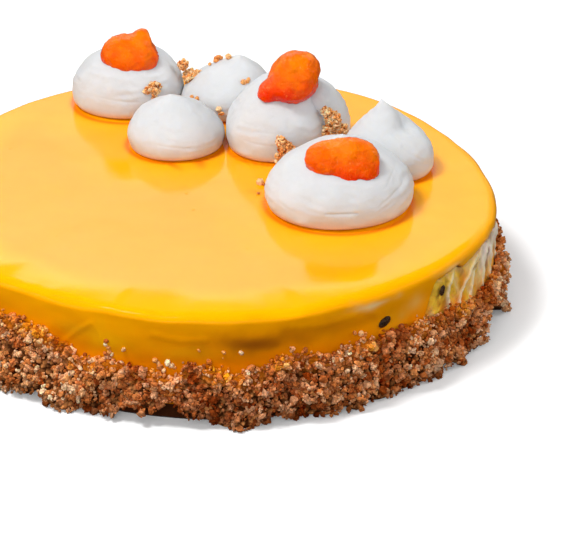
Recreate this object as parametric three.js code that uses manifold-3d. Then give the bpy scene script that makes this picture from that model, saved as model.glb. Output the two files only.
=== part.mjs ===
// Round mousse cake with a poured mango glaze, a band of biscuit crumbs pressed round the foot,
// and a cluster of seven piped cream dollops on top, three of them carrying a piece of fruit.
// Millimetres, +Z up. The origin is at the middle of the flat underside. +Y is the back of the cake.

import * as THREE from 'three';
import { mergeVertices } from 'three/addons/utils/BufferGeometryUtils.js';
import Module from 'manifold-3d';

const wasm = await Module();
wasm.setup();

// Driving dimensions of the cake
const CAKE_RADIUS = 111.9;
const CAKE_HEIGHT = 43.4;
const SHOULDER = 4.2;
const GAP = 0.3;
const AROUND = 90;

// Uneven outline seen from above: [waves round the rim, height of a wave, turn in degrees]
const RIM_WAVES = [[1, 1.6, -89], [2, 1.65, 94], [3, 0.76, 86], [4, 0.3, -177], [5, 1.17, 60]];

// Glaze: a layer on top, a skirt down the side, and one sector where the skirt is torn away,
// its edge there ragged by waves: [waves in a full turn, height]
const GLAZE_TOP = 3;
const GLAZE_SIDE = 2.2;
const SKIRT_FOOT = 6;
const SKIRT_MIDDLE = 20;
const FOOT_BEVEL = 1.4;
const TORN_EDGE = 36.6;
const TORN_WAVES = [[11, 0.9], [23, 0.55]];
const TORN_FROM = -50;
const TORN_TO = 30;
const TORN_BLEND = 10;

// Passion fruit seeds: one caught in the skirt, one on the bare mousse beside it,
// each at an angle round the cake and a height, turned from lying level, and its share of full size
const SEED = { length: 5.6, width: 3.4, thickness: 2 };
const SKIRT_SEED = { degrees: -53.3, height: 30.1, turn: 25, share: 1 };
const MOUSSE_SEED = { degrees: -38.3, height: 32.9, turn: 70, share: 0.74 };

// Crumb band: a ring thicker at the foot than at its crest. Waves: [waves round the ring, height]
const BAND_HEIGHT = 24;
const BAND_FOOT = 5.6;
const BAND_CREST = 2.4;
const BAND_TAPER = 1.4;
const BAND_LIFT = 0.4;
const BAND_AROUND = 2 * AROUND;
const BAND_ROW = 3.2;
const CRUMB = 2.1;
const BAND_SEED = 11;
const CLUSTER_WAVES = [[19, 0.45], [31, 0.45]];
const CLUSTER_SLANT = 1 / 60;
const CREST_WAVES = [[9, 1.6], [23, 1.3]];
const CREST_RAGGED = 2.4;

// Dollops of piped cream, back to front: centre, radius and height of each, how pointed its top is,
// where its tip leans, and its depth front to back as a share of its width
const DOLLOP_AROUND = 20;
const DOLLOP_ROWS = 6;
const FOOT_SHARE = 0.9;
const BELLY_SHARE = 0.24;
const DOLLOP_UNEVEN = 0.018;
const DOLLOPS = [
  { x: -35.5, y: 83.6, radius: 22.9, height: 25.8, point: 1.2, lean: [1.7, 0], depth: 0.94 },
  { x: 5.6, y: 79.4, radius: 19, height: 22.3, point: 1.8, lean: [6, -1.2], depth: 1.04 },
  { x: 39.7, y: 46.4, radius: 16.5, height: 26.4, point: 1.15, lean: [-0.8, 0], depth: 1 },
  { x: -13.7, y: 40.3, radius: 19.9, height: 21.3, point: 1.8, lean: [-2, -0.5], depth: 1 },
  { x: 26.9, y: 39.4, radius: 20.5, height: 32, point: 1.9, lean: [-0.8, 0.4], depth: 1.02 },
  { x: 71.2, y: 16.4, radius: 17.6, height: 27.7, point: 2.8, lean: [-3.2, 4.5], depth: 1.01 },
  { x: 50.9, y: -16.3, radius: 28.4, height: 28.4, point: 2.1, lean: [1.2, 1.4], depth: 0.99 },
];

// Fruit pieces: lumpy chunks, lying back at FRUIT_TILT, seen from their broad face. half: half width,
// half length up the slope and half thickness; lumps: [degrees round the face, degrees towards the
// viewer, height, sharpness], negative for a dent. A place is [x, y, height above the glaze]
const FRUIT_TILT = 26.5;
const FRUIT_DETAIL = 2;
const FRUIT_SQUARENESS = 2.5;
const FRUITS = [
  {
    place: [-32.9, 78.9, 22.2],
    half: [12.2, 7.6, 9],
    lumps: [[66, 10, 4.4, 16], [145, 20, 1.2, 6], [104, 10, 1.5, 6], [20, 10, -2, 10], [265, 40, 0.8, 4]],
  },
  {
    place: [32.9, 35.4, 30.5],
    half: [11.4, 9.8, 9],
    lumps: [
      [211, 12, 4.6, 14], [60, 10, 1.5, 4], [158, 15, -2.6, 5], [152, 10, -2.4, 12], [338, 10, -1.4, 6],
      [262, 40, 1.2, 5],
    ],
  },
  {
    place: [52.1, -26, 21],
    half: [14.1, 9.4, 7.6],
    lumps: [[164, 10, 1.2, 7], [70, 30, 1.2, 5], [112, 40, -1.6, 9], [288, 15, 2.2, 6], [226, 15, -2.2, 6]],
  },
];

// Clumps of crumbs lying on the cream: centre, half sizes and number of grains on the outside
const GRAIN_RADIUS = 1.35;
const GRAIN_SPREAD = 0.5;
const GRAIN_PROUD = 0.2;
const CLUMPS = [
  { place: [-9.7, 79.4, 14.3], half: [3.4, 3, 5.2], grains: 13 },
  { place: [-24.5, 66.2, 12.7], half: [2.9, 2.9, 3.5], grains: 9 },
  { place: [49.6, 32.6, 12.6], half: [4.6, 4.4, 6.4], grains: 17 },
  { place: [29.9, 17.4, 8.4], half: [3.2, 3.1, 3.8], grains: 11 },
];

const COLOURS = {
  mousse: { color: 0xe9dfc4, roughness: 0.7 },
  glaze: { color: 0xf6a90a, roughness: 0.12 },
  crumb: { color: 0xc08a52, roughness: 0.85 },
  cream: { color: 0xf4f1ec, roughness: 0.55 },
  fruit: { color: 0xf06a08, roughness: 0.15 },
};

const FULL_TURN = 2 * Math.PI;
const GOLDEN_ANGLE = Math.PI * (3 - Math.sqrt(5));
const rad = THREE.MathUtils.degToRad;
const smooth = THREE.MathUtils.smoothstep;

// Seeded draw of numbers from 0 to 1 (mulberry32)
function seeded(seed) {
  let state = seed;
  return () => {
    state = (state + 0x6d2b79f5) | 0;
    let t = Math.imul(state ^ (state >>> 15), 1 | state);
    t = (t + Math.imul(t ^ (t >>> 7), 61 | t)) ^ t;
    return ((t ^ (t >>> 14)) >>> 0) / 4294967296;
  };
}

// Outline radius of the glazed side at an angle in radians
function rimRadius(angle) {
  const wave = (sum, [count, height, turn]) => sum + height * Math.cos(count * angle + rad(turn));
  return RIM_WAVES.reduce(wave, CAKE_RADIUS);
}

// How far the skirt is torn away at an angle: 0 where it is whole, 1 in the bare sector
function torn(angle) {
  const degrees = THREE.MathUtils.radToDeg(angle);
  const opening = smooth(degrees, TORN_FROM, TORN_FROM + TORN_BLEND);
  return opening * (1 - smooth(degrees, TORN_TO - TORN_BLEND, TORN_TO));
}

// Sum of sine waves, each [waves in a full turn, height], at an angle
function waves(list, angle) {
  return list.reduce((sum, [count, height]) => sum + height * Math.sin(count * angle), 0);
}

// Height of the skirt's lower edge at an angle
function skirtEdge(angle) {
  return THREE.MathUtils.lerp(SKIRT_FOOT, TORN_EDGE + waves(TORN_WAVES, angle), torn(angle));
}

// Indexed geometry with shared vertices and no collapsed triangles
function welded(geometry) {
  const bare = geometry.clone();
  bare.deleteAttribute('normal');
  bare.deleteAttribute('uv');
  const merged = mergeVertices(bare, 1e-4);
  const index = [];
  for (let i = 0; i < merged.index.count; i += 3) {
    const [a, b, c] = [0, 1, 2].map((k) => merged.index.getX(i + k));
    if (a !== b && b !== c && c !== a) index.push(a, b, c);
  }
  merged.setIndex(index);
  return merged;
}

function toSolid(geometry) {
  const closed = welded(geometry);
  const mesh = new wasm.Mesh({
    numProp: 3,
    vertProperties: Float32Array.from(closed.attributes.position.array),
    triVerts: Uint32Array.from(closed.index.array),
  });
  return new wasm.Manifold(mesh);
}

function toGeometry(solid) {
  const mesh = solid.getMesh();
  const geometry = new THREE.BufferGeometry();
  geometry.setAttribute('position', new THREE.BufferAttribute(mesh.vertProperties, 3));
  geometry.setIndex(new THREE.BufferAttribute(mesh.triVerts, 1));
  geometry.computeVertexNormals();
  return geometry;
}

// Moves every vertex by a rule that takes and gives a Vector3
function reshape(geometry, rule) {
  const place = geometry.attributes.position;
  const point = new THREE.Vector3();
  for (let i = 0; i < place.count; i += 1) {
    point.fromBufferAttribute(place, i);
    rule(point);
    place.setXYZ(i, point.x, point.y, point.z);
  }
  return geometry;
}

// Turned body about +Z from [radius, height] pairs
function turned(profile, around) {
  const points = profile.map(([radius, height]) => new THREE.Vector2(radius, height));
  return new THREE.LatheGeometry(points, around).rotateX(Math.PI / 2);
}

// Arc of [radius, height] pairs round a centre, `from` and `to` in degrees above level
function arc(centreRadius, centreHeight, radius, from, to, steps) {
  return Array.from({ length: steps + 1 }, (_, i) => {
    const turn = rad(THREE.MathUtils.lerp(from, to, i / steps));
    return [centreRadius + radius * Math.cos(turn), centreHeight + radius * Math.sin(turn)];
  });
}

// Fits a round body to the uneven rim, and stretches its side so that the height
// SKIRT_MIDDLE lands on the skirt's edge, while foot and shoulder stay where they are
const SIDE_TOP = CAKE_HEIGHT - GLAZE_TOP - SHOULDER + GLAZE_SIDE;
function fitToRim(point) {
  const angle = Math.atan2(point.y, point.x);
  const scale = rimRadius(angle) / CAKE_RADIUS;
  const edge = skirtEdge(angle);
  if (point.z <= SKIRT_MIDDLE) {
    point.z *= edge / SKIRT_MIDDLE;
  } else if (point.z < SIDE_TOP) {
    point.z = SIDE_TOP - (SIDE_TOP - point.z) * (SIDE_TOP - edge) / (SIDE_TOP - SKIRT_MIDDLE);
  }
  point.x *= scale;
  point.y *= scale;
}

// Mousse: full width below the skirt's edge, stepped in by the glaze above it
function makeMousse() {
  const full = CAKE_RADIUS - GAP;
  const inner = CAKE_RADIUS - GLAZE_SIDE - GAP;
  const top = CAKE_HEIGHT - GLAZE_TOP;
  const round = SHOULDER - GLAZE_SIDE;
  const profile = [
    [0, 0],
    [full - FOOT_BEVEL, 0],
    [full, FOOT_BEVEL],
    [full, SKIRT_MIDDLE - GAP],
    [inner, SKIRT_MIDDLE],
    ...arc(inner - round, top - round, round, 0, 90, 2),
    [0, top],
  ];
  return toSolid(reshape(turned(profile, AROUND), fitToRim)).add(makeSeed(MOUSSE_SEED));
}

// Passion fruit seed: a flattened drop set against the side
function makeSeed({ degrees, height, turn, share }) {
  const angle = rad(degrees);
  const reach = rimRadius(angle);
  const seed = new THREE.SphereGeometry(share / 2, 8, 6).rotateX(Math.PI / 2);
  seed.scale(SEED.thickness, SEED.length, SEED.width).rotateX(rad(turn)).rotateZ(angle);
  seed.translate(reach * Math.cos(angle), reach * Math.sin(angle), height);
  return toSolid(seed);
}

// Glaze: a cap with a rounded shoulder, a rounded lower lip and an even thickness
function makeGlaze() {
  const outer = CAKE_RADIUS;
  const inner = CAKE_RADIUS - GLAZE_SIDE;
  const under = CAKE_HEIGHT - GLAZE_TOP + GAP;
  const round = SHOULDER - GLAZE_SIDE;
  const lip = SKIRT_MIDDLE + GLAZE_SIDE / 2;
  const profile = [
    [0, under],
    ...arc(inner - round, under - round, round, 90, 0, 2),
    [inner, lip],
    ...arc((inner + outer) / 2, lip, GLAZE_SIDE / 2, -150, -30, 1),
    [outer, lip],
    ...arc(outer - SHOULDER, CAKE_HEIGHT - SHOULDER, SHOULDER, 0, 90, 3),
    [0, CAKE_HEIGHT],
  ];
  return toSolid(reshape(turned(profile, AROUND), fitToRim)).add(makeSeed(SKIRT_SEED));
}

// Crumb band: its crest ragged and its face knobbly with crumb-sized bumps
function makeCrumbBand() {
  const inner = CAKE_RADIUS + GAP;
  const rows = Math.round(BAND_HEIGHT / BAND_ROW);
  const face = Array.from({ length: rows + 1 }, (_, i) => {
    const up = i / rows;
    const thick = THREE.MathUtils.lerp(BAND_FOOT, BAND_CREST, up ** BAND_TAPER);
    return [inner + thick, BAND_LIFT + BAND_HEIGHT * up];
  });
  const profile = [[inner, BAND_LIFT], ...face, [inner, BAND_LIFT + BAND_HEIGHT], [inner, BAND_LIFT]];
  const draw = seeded(BAND_SEED);
  const bumps = new Map();
  // one seeded bump from -0.5 to 0.5 for each name, so that the ring's two ends agree
  const bump = (name) => {
    if (!bumps.has(name)) bumps.set(name, draw() - 0.5);
    return bumps.get(name);
  };
  const ring = reshape(turned(profile, BAND_AROUND), (point) => {
    const angle = Math.atan2(point.y, point.x);
    const radius = Math.hypot(point.x, point.y);
    const step = Math.round((angle / FULL_TURN + 1) * BAND_AROUND) % BAND_AROUND;
    const row = Math.round((point.z - BAND_LIFT) / BAND_ROW);
    const clusters = waves(CLUSTER_WAVES, angle + row * CLUSTER_SLANT);
    const knobs = CRUMB * bump(`face ${step} ${row}`) + clusters;
    const out = radius > inner + GAP ? knobs : 0;
    const scale = (rimRadius(angle) + radius - CAKE_RADIUS + out) / radius;
    const ragged = waves(CREST_WAVES, angle) + CREST_RAGGED * bump(`crest ${step}`);
    point.x *= scale;
    point.y *= scale;
    point.z += ragged * ((point.z - BAND_LIFT) / BAND_HEIGHT) ** 2;
  });
  return toSolid(ring);
}

// Dollop: piped cream with a belly low down and a top drawn up to a soft tip. `grow` swells it
function makeDollop({ x, y, radius, height, point, lean, depth }, grow = 0) {
  const belly = BELLY_SHARE * height;
  const side = [0, 0.5].map((up) => {
    const share = FOOT_SHARE + (1 - FOOT_SHARE) * Math.sqrt(1 - (1 - up) ** 2);
    return [radius * share + grow, up * belly];
  });
  const crown = Array.from({ length: DOLLOP_ROWS + 1 }, (_, i) => {
    const up = i / DOLLOP_ROWS;
    const out = up < 1 ? radius * Math.cos(up * Math.PI / 2) ** point + grow : 0;
    return [out, belly + (height - belly) * Math.sin(up * Math.PI / 2) + 2 * grow * up];
  });
  const profile = [[0, 0], ...side, ...crown];
  const body = reshape(turned(profile, DOLLOP_AROUND), (vertex) => {
    const angle = Math.atan2(vertex.y, vertex.x);
    const uneven = 1 + DOLLOP_UNEVEN * (Math.sin(2 * angle + x) + Math.sin(3 * angle + y) / 2);
    const up = (vertex.z / height) ** 2;
    vertex.x = vertex.x * uneven + lean[0] * up + x;
    vertex.y = vertex.y * uneven * depth + lean[1] * up + y;
    vertex.z += CAKE_HEIGHT + GAP - grow;
  });
  return toSolid(body);
}

// Fruit piece: a blunt chunk, each direction pushed out or in by its lumps. `grow` swells it
function makeFruit({ place, half, lumps }, grow = 0) {
  const ball = new THREE.IcosahedronGeometry(1, FRUIT_DETAIL);
  const knobs = lumps.map(([round, forward, height, sharpness]) => {
    const flat = Math.cos(rad(forward));
    const towards = [Math.cos(rad(round)) * flat, Math.sin(rad(round)) * flat, Math.sin(rad(forward))];
    return { towards: new THREE.Vector3(...towards), height, sharpness };
  });
  reshape(ball, (point) => {
    const direction = point.clone().normalize();
    const blunt = half.reduce((sum, size, axis) => {
      return sum + Math.abs(direction.getComponent(axis) / size) ** FRUIT_SQUARENESS;
    }, 0);
    const reach = blunt ** (-1 / FRUIT_SQUARENESS);
    const lump = knobs.reduce((sum, { towards, height, sharpness }) => {
      return sum + height * Math.exp(sharpness * (direction.dot(towards) - 1));
    }, 0);
    point.copy(direction).multiplyScalar(reach + lump + grow);
  });
  // width stays along X, and the broad face leans back to look up and forward
  ball.rotateX(Math.PI / 2 - rad(FRUIT_TILT)).translate(place[0], place[1], CAKE_HEIGHT + place[2]);
  return toSolid(ball);
}

// Clump: an egg-shaped core with grains spread evenly over it by the golden angle
function makeClump({ place, half, grains }, seed) {
  const draw = seeded(seed);
  let clump = toSolid(new THREE.IcosahedronGeometry(1, 1).scale(...half));
  for (let i = 0; i < grains; i += 1) {
    const up = 1 - (2 * i + 1) / grains;
    const flat = Math.sqrt(1 - up * up);
    const turn = GOLDEN_ANGLE * i;
    const at = [flat * Math.cos(turn), flat * Math.sin(turn), up].map((share, axis) => {
      return share * (half[axis] + GRAIN_PROUD);
    });
    const size = GRAIN_RADIUS * (1 + GRAIN_SPREAD * (draw() - 0.4));
    const grain = new THREE.IcosahedronGeometry(size, 0);
    grain.rotateX(FULL_TURN * draw()).rotateZ(FULL_TURN * draw()).translate(...at);
    clump = clump.add(toSolid(grain));
  }
  return clump.translate(place[0], place[1], CAKE_HEIGHT + place[2]);
}

function named(name, solid, finish) {
  const mesh = new THREE.Mesh(toGeometry(solid), new THREE.MeshStandardMaterial({ ...COLOURS[finish] }));
  mesh.name = name;
  return mesh;
}

// The fruit presses into the cream, each dollop into those behind it, and crumbs lie on the cream
function makeCluster() {
  const group = new THREE.Group();
  const cut = (body, tool) => body.subtract(tool);
  const swollenDollops = DOLLOPS.map((dollop) => makeDollop(dollop, GAP));
  const swollenFruits = FRUITS.map((fruit) => makeFruit(fruit, GAP));
  DOLLOPS.forEach((dollop, i) => {
    const body = [...swollenDollops.slice(i + 1), ...swollenFruits].reduce(cut, makeDollop(dollop));
    group.add(named(`cream_dollop_${i + 1}`, body, 'cream'));
  });
  FRUITS.forEach((fruit, i) => group.add(named(`fruit_piece_${i + 1}`, makeFruit(fruit), 'fruit')));
  CLUMPS.forEach((clump, i) => {
    const body = [...swollenDollops, ...swollenFruits].reduce(cut, makeClump(clump, i + 1));
    group.add(named(`crumb_clump_${i + 1}`, body, 'crumb'));
  });
  return group;
}

const cake = new THREE.Group();
cake.add(named('mousse', makeMousse(), 'mousse'));
cake.add(named('mango_glaze', makeGlaze(), 'glaze'));
cake.add(named('crumb_band', makeCrumbBand(), 'crumb'));
cake.add(makeCluster());

export default cake;
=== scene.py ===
"""Round mango mousse cake: poured glaze, a crumb band round the foot, piped cream and fruit on top.

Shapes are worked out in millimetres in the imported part's frame (+Z up, +Y to the back, origin at
the middle of the underside) and become metres when a piece is made.
"""

import bpy
import numpy as np
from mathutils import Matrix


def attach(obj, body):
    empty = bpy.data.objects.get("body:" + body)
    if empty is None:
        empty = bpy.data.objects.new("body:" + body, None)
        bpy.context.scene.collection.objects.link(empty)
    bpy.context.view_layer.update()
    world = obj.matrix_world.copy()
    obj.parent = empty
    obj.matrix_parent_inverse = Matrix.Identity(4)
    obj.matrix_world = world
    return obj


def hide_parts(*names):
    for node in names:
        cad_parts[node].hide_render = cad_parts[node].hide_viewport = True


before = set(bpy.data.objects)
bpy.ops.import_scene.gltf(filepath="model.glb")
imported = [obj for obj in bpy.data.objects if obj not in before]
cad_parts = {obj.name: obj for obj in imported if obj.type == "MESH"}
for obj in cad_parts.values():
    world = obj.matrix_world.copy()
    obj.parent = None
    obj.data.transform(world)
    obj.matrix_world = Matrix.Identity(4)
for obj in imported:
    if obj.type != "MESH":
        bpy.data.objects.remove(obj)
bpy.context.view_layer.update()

METRES = 0.001
FULL_TURN = 2 * np.pi

# Cake body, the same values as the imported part
CAKE_RADIUS = 111.9
CAKE_HEIGHT = 43.4
SHOULDER = 4.2
GAP = 0.3
RIM_WAVES = [(1, 1.6, -89), (2, 1.65, 94), (3, 0.76, 86), (4, 0.3, -177), (5, 1.17, 60)]
GLAZE_TOP = 3.0
GLAZE_SIDE = 2.2
FOOT_BEVEL = 1.4
ON_TOP = np.array([0, 0, CAKE_HEIGHT])

# Lower edge of the skirt of glaze, [degrees, height]: hidden behind the crumbs, torn away on one side
HIDDEN_EDGE = 6.0
SKIRT_EDGE = np.array([
    (-46.5, 6), (-45, 14), (-43.8, 21), (-43, 26), (-41.8, 31), (-40.6, 35.3), (-39.3, 37.4), (-37, 38.2),
    (-34, 38.4), (-31.5, 37.6), (-29.5, 36.2), (-27.5, 37), (-25, 38.2), (-21, 38.6), (-16, 38.2),
    (-11, 37.2), (-6, 37.9), (-1, 35.8), (4, 36.8), (8, 34.6), (12, 36.4), (16, 34.5), (19, 30), (22, 24),
    (25, 12), (30, 6),
])

# Strands of mousse stretched down the bare face: (degrees, height) from top to bottom
STRANDS = [
    [(-25.2, 37.5), (-26.6, 34), (-28.6, 31), (-31, 27), (-32.2, 22)],
    [(-21.2, 40), (-22.8, 37.8), (-25.6, 33.8), (-27, 27.8), (-27.8, 21)],
    [(-17.5, 41), (-18.8, 38), (-20.4, 32.4), (-21, 26), (-21.5, 20)],
    [(-14.5, 40), (-15.4, 35), (-16, 30), (-15.6, 22)],
    [(-34.4, 36.5), (-35.6, 33.5), (-36.4, 29), (-36, 24)],
    [(-9, 39), (-9.6, 33), (-9, 26), (-8.2, 20)],
    [(-2, 37), (-3.4, 31), (-3, 24), (-2.6, 20)],
    [(5, 36), (4, 31), (4.6, 25), (5.5, 20)],
    [(12.5, 36), (11, 30), (11.6, 24), (12, 20)],
]
STRAND_WIDTH = 0.75
STRAND_RISE = 0.95
FOLD_SLANT = 0.55

# How far in from the rim the top starts to fall away, [degrees, millimetres]
ROLL_START = np.array([
    (-180, 12), (-160, 15), (-138, 9.4), (-132, 14), (-125, 12.3), (-119, 9.7), (-108, 12.2),
    (-105, 16.4), (-97, 17.5), (-90, 11.7), (-81, 10.5), (-76, 14.7), (-72, 17), (-69, 12.6), (-63, 9.6),
    (-47, 5.2), (-32, 5), (-17, 4.8), (0, 3), (25, -5), (150, -5), (166, 7), (180, 12),
])
ROLL_SLOPE = 0.1
ROLL_LENGTH = 6.0
ROLL_LEAD = 4.3

# Crumb band: nominal height, thickness at the foot and the crest, how that tapers, and the height
# of the crest, [degrees, height]
BAND_HEIGHT = 24.0
BAND_FOOT = 5.6
BAND_CREST = 2.4
BAND_TAPER = 1.4
CREST_HEIGHT = np.array([
    (-180, 25.5), (-165, 23), (-150, 26), (-140, 28), (-130, 29.3), (-123, 28.9), (-117, 24.4),
    (-112.5, 19), (-109, 22.6), (-106, 21.4), (-101, 20.6), (-98.2, 19), (-95.5, 17.6), (-92.3, 22.6),
    (-90, 22.9), (-82, 19.4), (-77, 23.8), (-71.5, 25), (-65.5, 22.7), (-57, 25.4), (-50, 24.3),
    (-38, 23.5), (-31, 21.7), (-21, 20), (-12, 20.5), (0, 24), (14, 22.4), (28, 25.2), (45, 23), (60, 25),
    (78, 22.4), (95, 24.8), (112, 22.6), (130, 25.4), (150, 23), (165, 25), (180, 25.5),
])

# Dollops: centre, radius, height, pointedness, lean of the tip, depth as a share of the width. All
# have a foot of FOOT_SHARE of the radius and are widest at BELLY_SHARE of the height.
DOLLOPS = [
    dict(x=-35.5, y=83.6, radius=22.9, height=25.8, point=1.2, lean=(1.7, 0), depth=0.94),
    dict(x=5.6, y=79.4, radius=19, height=22.3, point=1.8, lean=(6, -1.2), depth=1.04),
    dict(x=39.7, y=46.4, radius=16.5, height=26.4, point=1.15, lean=(-0.8, 0), depth=1),
    dict(x=-13.7, y=40.3, radius=19.9, height=21.3, point=1.8, lean=(-2, -0.5), depth=1),
    dict(x=26.9, y=39.4, radius=20.5, height=32, point=1.9, lean=(-0.8, 0.4), depth=1.02),
    dict(x=71.2, y=16.4, radius=17.6, height=27.7, point=2.8, lean=(-3.2, 4.5), depth=1.01),
    dict(x=50.9, y=-16.3, radius=28.4, height=28.4, point=2.1, lean=(1.2, 1.4), depth=0.99),
]
FOOT_SHARE = 0.9
BELLY_SHARE = 0.24
DOLLOP_UNEVEN = 0.018

# Fruit: place, half sizes, lumps of [degrees round, degrees towards the viewer, height, sharpness]
FRUIT_TILT = 26.5
FRUIT_SQUARENESS = 2.5
FRUITS = [
    dict(place=(-32.9, 78.9, 22.2), half=(12.2, 7.6, 9), lumps=[
        (66, 10, 4.4, 16), (145, 20, 1.2, 6), (104, 10, 1.5, 6), (20, 10, -2, 10), (265, 40, 0.8, 4)]),
    dict(place=(32.9, 35.4, 30.5), half=(11.4, 9.8, 9), lumps=[
        (211, 12, 4.6, 14), (60, 10, 1.5, 4), (158, 15, -2.6, 5), (152, 10, -2.4, 12), (338, 10, -1.4, 6),
        (262, 40, 1.2, 5)]),
    dict(place=(52.1, -26, 21), half=(14.1, 9.4, 7.6), lumps=[
        (164, 10, 1.2, 7), (70, 30, 1.2, 5), (112, 40, -1.6, 9), (288, 15, 2.2, 6), (226, 15, -2.2, 6)]),
]

# Clumps of crumbs on the cream: centre, and lobes of [across, up, radius] from it. Each lobe has a
# core of CLUMP_CORE of its radius and CLUMP_FILL times its radius squared crumbs.
CLUMPS = [
    dict(place=(-9.7, 79.4, 14.3), lobes=[
        (-2.3, 4.2, 2.2), (0.2, -1.2, 3), (3.5, -0.5, 1.9), (0.6, -5.2, 1.3)]),
    dict(place=(-24.5, 66.2, 12.7), lobes=[(1.1, 0.7, 2.6), (-2, -0.2, 1.6), (0.8, -2.5, 1.7)]),
    dict(place=(49.6, 32.6, 12.6), lobes=[(-2.8, 5, 2), (-0.4, 1.2, 3.2), (-2.8, -3.6, 2.8), (2.8, -3.6, 3)]),
    dict(place=(29.9, 17.4, 8.4), lobes=[(0.6, -0.6, 3.2), (-1.4, 3, 1.9), (-2.7, -3.2, 1.1)]),
]
CLUMP_DEPTH = 0.9
CLUMP_CORE = 0.6
CLUMP_FILL = 26
CLUMP_TINT = (1.08, 1.14, 1.12)

# Dents and folds in the cream: number of the dollop, (x, y, height above the glaze), reach, depth
DENTS = [
    (6, (78.5, 16, 19.5), 6, 2.6),
    (6, (74, 10, 20.5), 3.5, 0.8),
    (5, (8.5, 32, 17), 7, 0.8),
    (4, (-19, 24, 13), 5, 0.6),
    (1, (-48, 66, 13), 6, 0.7),
]

# Short creases in the cream: number of the dollop, two ends (x, height above the glaze), depth
CREASES = [
    (7, (46, 8), (57.5, 7.8), 0.35),
    (7, (66, 9), (75, 13), 0.14),
    (7, (62, 5.6), (71.5, 9), 0.12),
    (7, (68, 14), (73, 18.5), 0.1),
    (7, (28, 8.5), (36, 6), 0.12),
    (6, (76, 14.5), (84, 8.5), 0.25),
    (6, (72, 18.5), (80, 13), 0.2),
    (6, (79, 10), (86, 6), 0.15),
    (5, (14, 9), (26, 8), 0.14),
    (5, (18, 13.5), (34, 12.6), 0.12),
    (4, (-20, 7.5), (-8, 6.4), 0.16),
    (1, (-46, 9.5), (-30, 8.2), 0.12),
]
CREASE_WIDTH = 0.45

# Seeds: half sizes, and for each its degrees round the cake, height, turn and share of full size
SEED_HALF = (1, 2.8, 1.7)
SKIRT_SEED = (-53.3, 30.1, 25, 1)
MOUSSE_SEED = (-38.3, 32.9, 70, 0.74)


# ---- plain mathematics ----

def smooth_step(value, low, high):
    """0 below low, 1 above high, t*t*(3-2t) between them."""
    t = np.clip((value - low) / (high - low), 0, 1)
    return t * t * (3 - 2 * t)


def bell(distance):
    """exp(-distance squared), 1 at nought."""
    return np.exp(-np.square(distance))


def lattice(cells, seed):
    """A random number from -1 to 1 for each whole-numbered cell: its coordinates times large
    odd numbers, folded together and mixed by shifts."""
    c = cells.astype(np.int64)
    mixed = (c[..., 0] * 73856093) ^ (c[..., 1] * 19349663) ^ (c[..., 2] * 83492791) ^ (seed * 40503)
    mixed = ((mixed ^ (mixed >> 13)) * 1274126177) & 0xFFFFFFFF
    mixed = mixed ^ (mixed >> 15)
    return (mixed & 0xFFFF) / 32767.5 - 1


def noise(points, size, seed):
    """Noise from -1 to 1: random values at the corners of cubes of this size, blended by t*t*(3-2t)."""
    scaled = points / size
    cell = np.floor(scaled)
    t = scaled - cell
    t = t * t * (3 - 2 * t)
    total = 0
    for corner in np.ndindex(2, 2, 2):
        share = np.prod(np.where(np.array(corner) == 1, t, 1 - t), axis=-1)
        total = total + share * lattice(cell + np.array(corner), seed)
    return total


def layered(points, size, seed, layers=3):
    """Noise summed over layers, each half the size and half the height of the one before."""
    return sum(noise(points, size / 2 ** i, seed + i) / 2 ** i for i in range(layers))


def along(table, angle):
    """Value at an angle from a table of [degrees, value], blended with t*t*(3-2t) between rows."""
    degrees = (np.degrees(angle) + 180) % 360 - 180
    after = np.clip(np.searchsorted(table[:, 0], degrees, side="right"), 1, len(table) - 1)
    low, high = table[after - 1], table[after]
    t = np.clip((degrees - low[..., 0]) / (high[..., 0] - low[..., 0]), 0, 1)
    t = t * t * (3 - 2 * t)
    return low[..., 1] + (high[..., 1] - low[..., 1]) * t


def distance_to_line(points, line):
    """Distance from flat points to a broken line: the least of those to each of its stretches,
    from the nearest place held between the stretch's two ends."""
    start, reach = line[:-1], np.diff(line, axis=0)
    away = points[:, None] - start
    share = np.clip(np.sum(away * reach, -1) / np.sum(reach * reach, -1), 0, 1)
    return np.linalg.norm(away - share[..., None] * reach, axis=-1).min(1)


def arc(centre_radius, centre_height, radius, start, end, steps):
    """Points [radius, height] on a circle from start to end degrees above level."""
    turn = np.radians(np.linspace(start, end, steps + 1))
    return np.stack([centre_radius + radius * np.cos(turn), centre_height + radius * np.sin(turn)], 1)


def turned(a, b, angle):
    """Two coordinates turned by an angle round the third."""
    return a * np.cos(angle) - b * np.sin(angle), a * np.sin(angle) + b * np.cos(angle)


def unit(vectors):
    """Vectors brought to length 1."""
    return vectors / np.linalg.norm(vectors, axis=1, keepdims=True)


def blend_colours(start, end, share):
    """Colour between two colours, share 0 to 1 for each point."""
    return np.asarray(start) * (1 - share[:, None]) + np.asarray(end) * share[:, None]


# ---- the cake's outline ----

def rim_radius(angle):
    """Radius of the glazed side: a circle plus a few cosine waves round the rim."""
    return CAKE_RADIUS + sum(h * np.cos(k * angle + np.radians(turn)) for k, h, turn in RIM_WAVES)


def skirt_edge(angle):
    """Height of the skirt's lower edge: SKIRT_EDGE with ragged waves, HIDDEN_EDGE outside it."""
    degrees = np.degrees(angle)
    inside = (degrees > SKIRT_EDGE[0, 0]) & (degrees < SKIRT_EDGE[-1, 0])
    ragged = 0.5 * np.sin(61 * angle) + 0.35 * np.sin(97 * angle + 1)
    edge = np.interp(degrees, SKIRT_EDGE[:, 0], SKIRT_EDGE[:, 1])
    return np.where(inside, edge + ragged * smooth_step(edge, 20, 30), HIDDEN_EDGE)


def round_point(angle, radius, height):
    """Points at an angle, a radius and a height."""
    return np.stack(np.broadcast_arrays(radius * np.cos(angle), radius * np.sin(angle), height), -1)


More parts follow.
